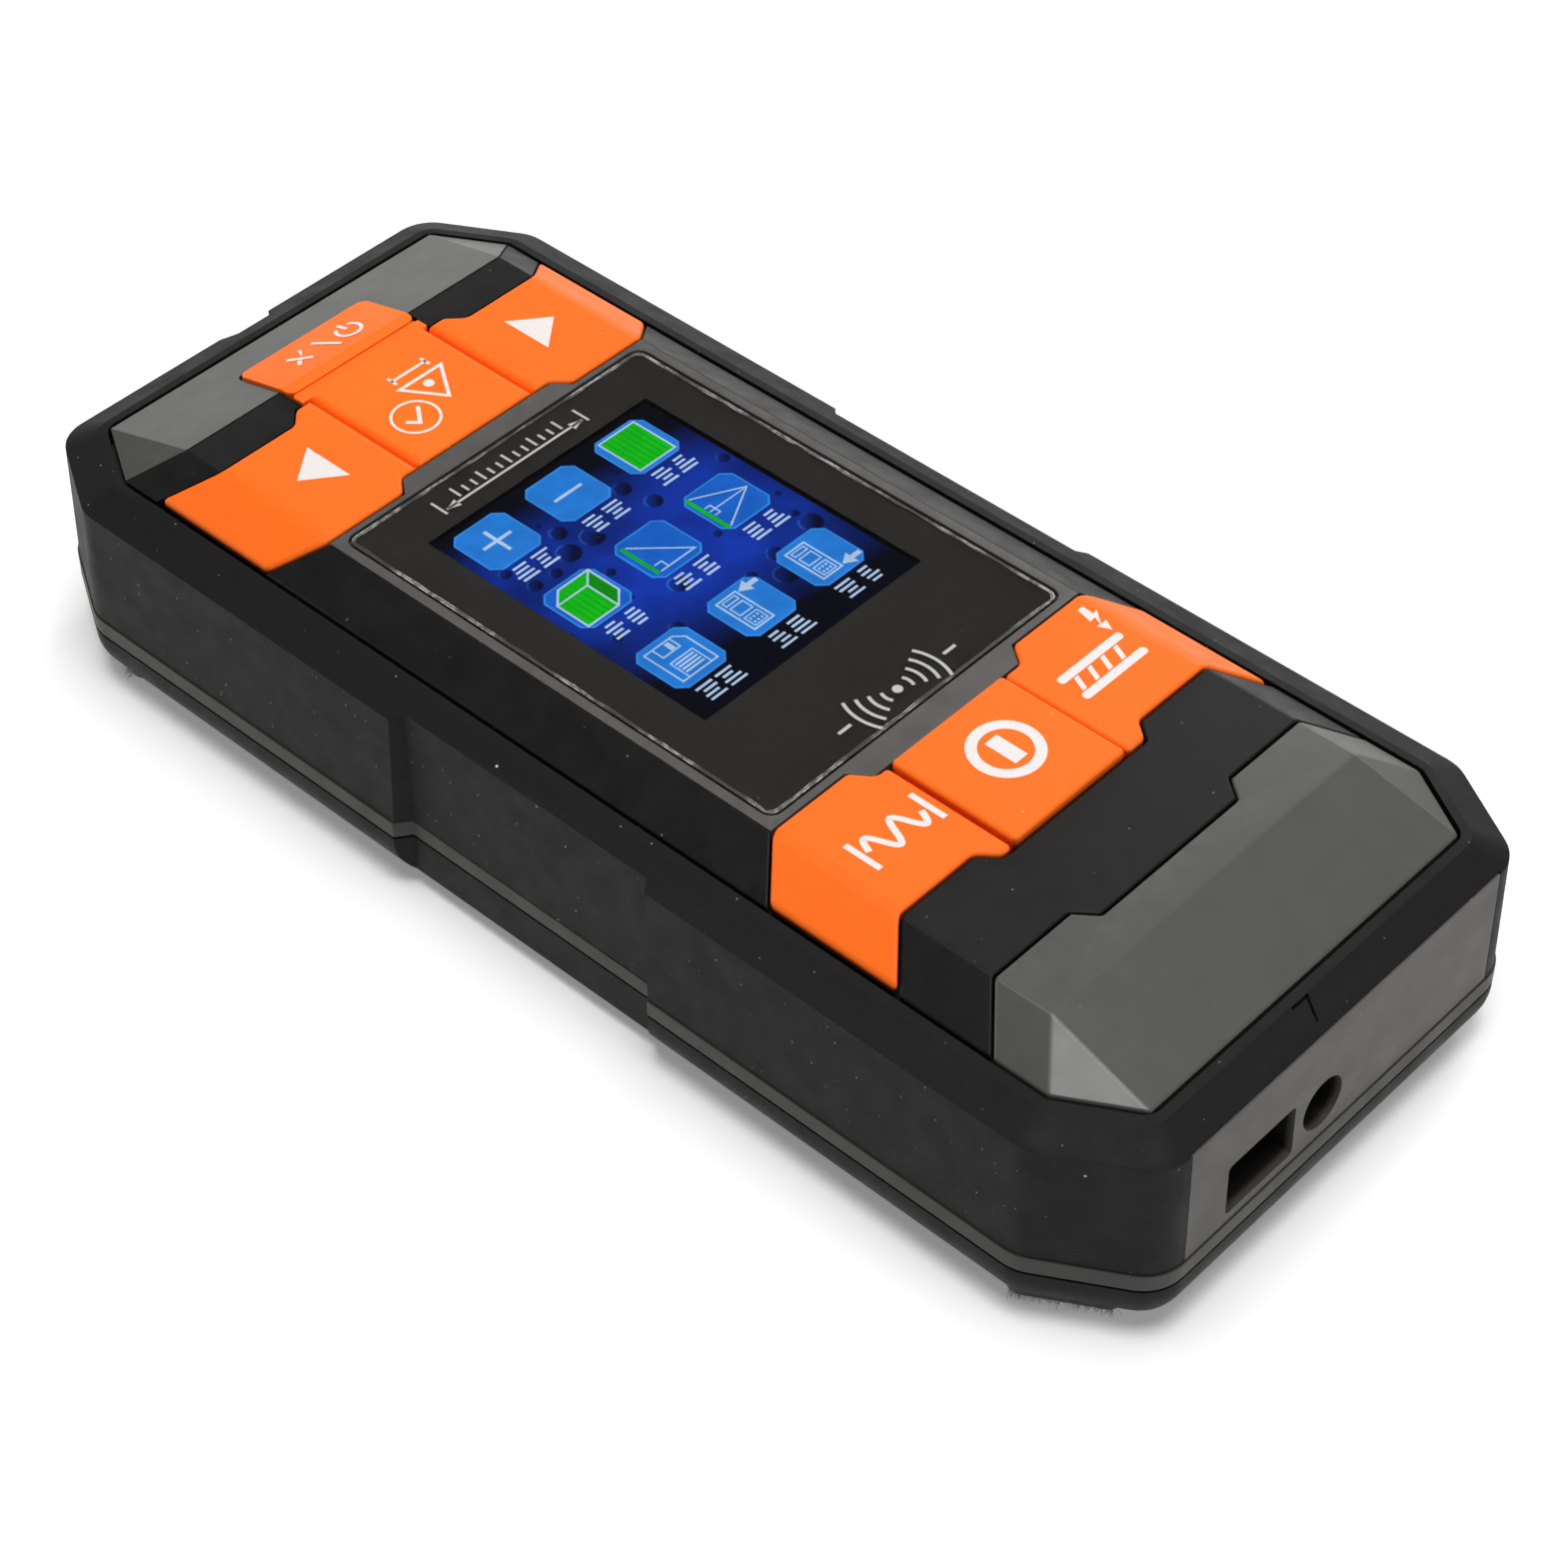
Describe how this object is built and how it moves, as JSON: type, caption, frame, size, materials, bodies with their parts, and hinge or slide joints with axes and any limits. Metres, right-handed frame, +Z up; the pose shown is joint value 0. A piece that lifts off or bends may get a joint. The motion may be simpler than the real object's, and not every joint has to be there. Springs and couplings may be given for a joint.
{
  "type": "stud finder",
  "caption": "Hand-held wall detector with built-in laser distance meter: octagonal rubber-edged case, raised deck with colour screen between two banks of orange push keys.",
  "frame": {"origin": "centre of the footprint on the surface that the glide pads rest on", "axes": "+Z up out of the screen, +Y along the tool from the laser end to the detection end, +X to the right seen from the laser end"},
  "size_m": [0.06, 0.136, 0.0265],
  "materials": {
    "soft_black": "soft-touch moulded elastomer, very fine texture",
    "shell_black": "moulded black plastic, light texture",
    "band_gray": "moulded gray plastic, satin",
    "panel_gray": "dark gray hard plastic, fine texture",
    "deck_gray": "gray plastic, satin",
    "deck_black": "black plastic, satin",
    "bezel_gray": "gray plastic, satin",
    "key_orange": "orange plastic, satin, printed white symbols",
    "mat_orange": "orange silicone",
    "lens_black": "clear acrylic window, printed black behind",
    "gasket_black": "black foam adhesive",
    "display": "colour display, lit",
    "board_green": "solder mask",
    "chip_black": "moulded epoxy",
    "flex_amber": "polyimide film",
    "steel": "zinc plated",
    "brass": "turned",
    "copper": "enamelled copper winding",
    "glass": "coated lens",
    "cell_wrap": "foil pouch",
    "lead_red": "insulated wire",
    "connector_white": "nylon",
    "foam": "closed-cell foam",
    "felt": "pressed felt",
    "label": "plain film label"
  },
  "bodies": {
    "housing": {"bottom_shell": "shell_black", "upper_housing": "band_gray", "bumper": "soft_black", "end_panel": "panel_gray", "near_cap": "deck_gray", "near_band": "deck_black", "far_cap": "deck_gray", "far_band": "deck_black", "screen_frame": "deck_black", "screen_bezel": "bezel_gray", "lens_window": "lens_black", "lens_gasket": "gasket_black", "display_backlight": "steel", "display_panel": "display", "display_flex": "flex_amber", "near_key_mat": "mat_orange", "far_key_mat": "mat_orange", "main_board": "board_green", "tact_switches": "chip_black", "board_chips": "chip_black", "shield_can": "steel", "buzzer": "chip_black", "usb_socket": "steel", "board_screws": "steel", "battery_foam": "foam", "battery_cell": "cell_wrap", "battery_plug": "connector_white", "battery_leads": "lead_red", "optics_bench": "chip_black", "receiver_lens": "glass", "laser_barrel": "brass", "collimator_lens": "glass", "laser_diode": "brass", "detector_board": "board_green", "sensor_board": "board_green", "sensor_coil": "copper", "sensor_plates": "copper", "case_screws": "steel", "glide_pads": "felt", "underside_label": "label"},
    "live_detect_button": {"key_live_detect": "key_orange"},
    "power_button": {"key_power": "key_orange"},
    "metal_detect_button": {"key_metal_detect": "key_orange"},
    "left_button": {"key_left": "key_orange"},
    "right_button": {"key_right": "key_orange"},
    "measure_button": {"key_measure": "key_orange"},
    "clear_button": {"key_clear": "key_orange"}
  },
  "joints": [
    {"name": "press_live_detect", "type": "slide", "parent": "housing", "child": "live_detect_button", "axis": [0, 0, -1], "range_m": [0, 0.0006], "stiffness_N_per_m": 2000, "springref_m": -0.0003},
    {"name": "press_power", "type": "slide", "parent": "housing", "child": "power_button", "axis": [0, 0, -1], "range_m": [0, 0.0006], "stiffness_N_per_m": 2000, "springref_m": -0.0003},
    {"name": "press_metal_detect", "type": "slide", "parent": "housing", "child": "metal_detect_button", "axis": [0, 0, -1], "range_m": [0, 0.0006], "stiffness_N_per_m": 2000, "springref_m": -0.0003},
    {"name": "press_left", "type": "slide", "parent": "housing", "child": "left_button", "axis": [0, 0, -1], "range_m": [0, 0.0006], "stiffness_N_per_m": 2000, "springref_m": -0.0003},
    {"name": "press_right", "type": "slide", "parent": "housing", "child": "right_button", "axis": [0, 0, -1], "range_m": [0, 0.0006], "stiffness_N_per_m": 2000, "springref_m": -0.0003},
    {"name": "press_measure", "type": "slide", "parent": "housing", "child": "measure_button", "axis": [0, 0, -1], "range_m": [0, 0.0006], "stiffness_N_per_m": 2000, "springref_m": -0.0003},
    {"name": "press_clear", "type": "slide", "parent": "housing", "child": "clear_button", "axis": [0, 0, -1], "range_m": [0, 0.0006], "stiffness_N_per_m": 2000, "springref_m": -0.0003}
  ]
}
